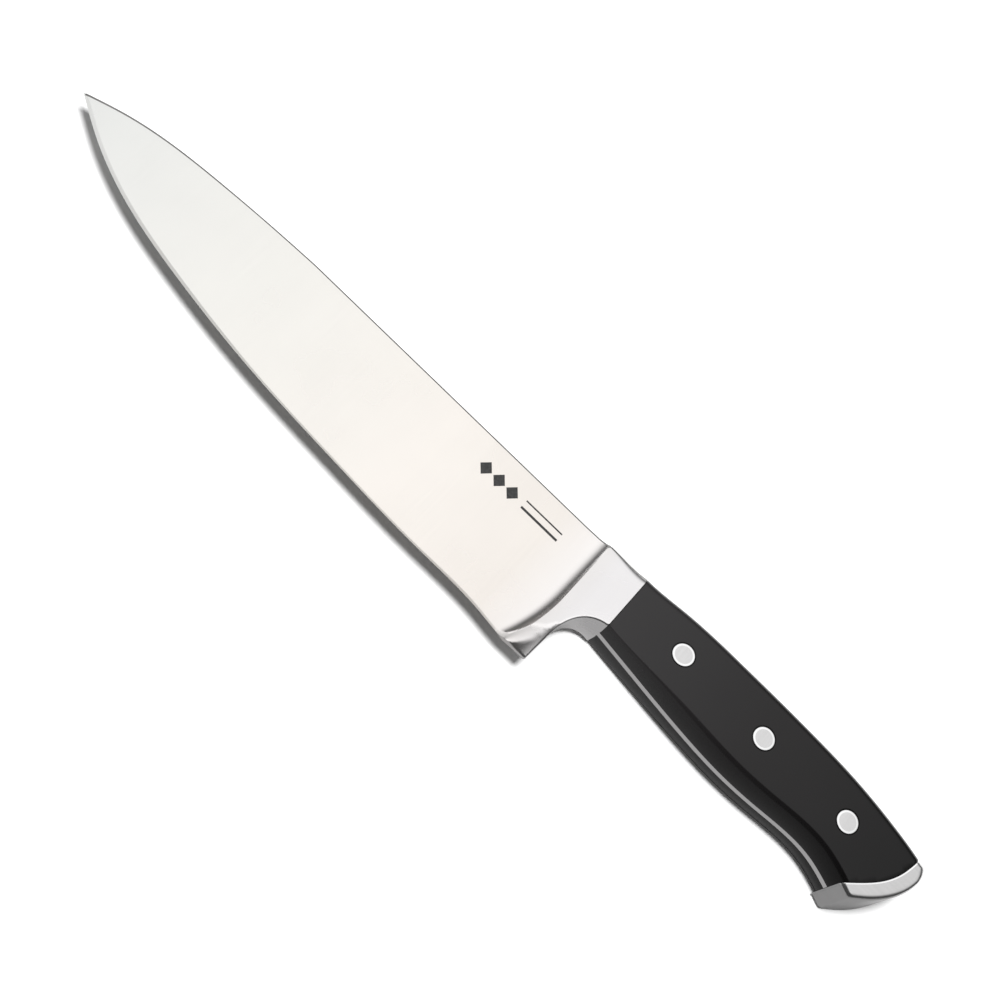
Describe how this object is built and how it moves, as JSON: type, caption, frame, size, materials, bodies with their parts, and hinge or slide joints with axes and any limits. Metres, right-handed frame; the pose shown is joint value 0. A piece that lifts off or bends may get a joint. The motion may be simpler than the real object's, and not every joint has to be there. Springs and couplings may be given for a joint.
{
  "type": "chef knife",
  "caption": "Chef knife with a wide forged blade, full bolster and heel, dark riveted full-tang handle and steel butt cap",
  "frame": {"origin": "middle of the underside of the knife as it lies on its side", "axes": "+X from the tip to the butt, +Y from the cutting edge to the spine, +Z through the thickness"},
  "size_m": [0.3296, 0.0448, 0.019],
  "materials": {
    "blade_steel": "fine satin grind, polished bolster",
    "cap_steel": "satin",
    "handle_plastic": "fine satin, black",
    "rivet_steel": "ground flush, satin"
  },
  "bodies": {
    "root": {"forged_blade": "blade_steel", "butt_cap": "cap_steel", "scale_right": "handle_plastic", "scale_left": "handle_plastic", "rivet_pin_1": "rivet_steel", "rivet_pin_2": "rivet_steel", "rivet_pin_3": "rivet_steel", "rivet_barrel_1": "rivet_steel", "rivet_barrel_2": "rivet_steel", "rivet_barrel_3": "rivet_steel"}
  },
  "joints": []
}
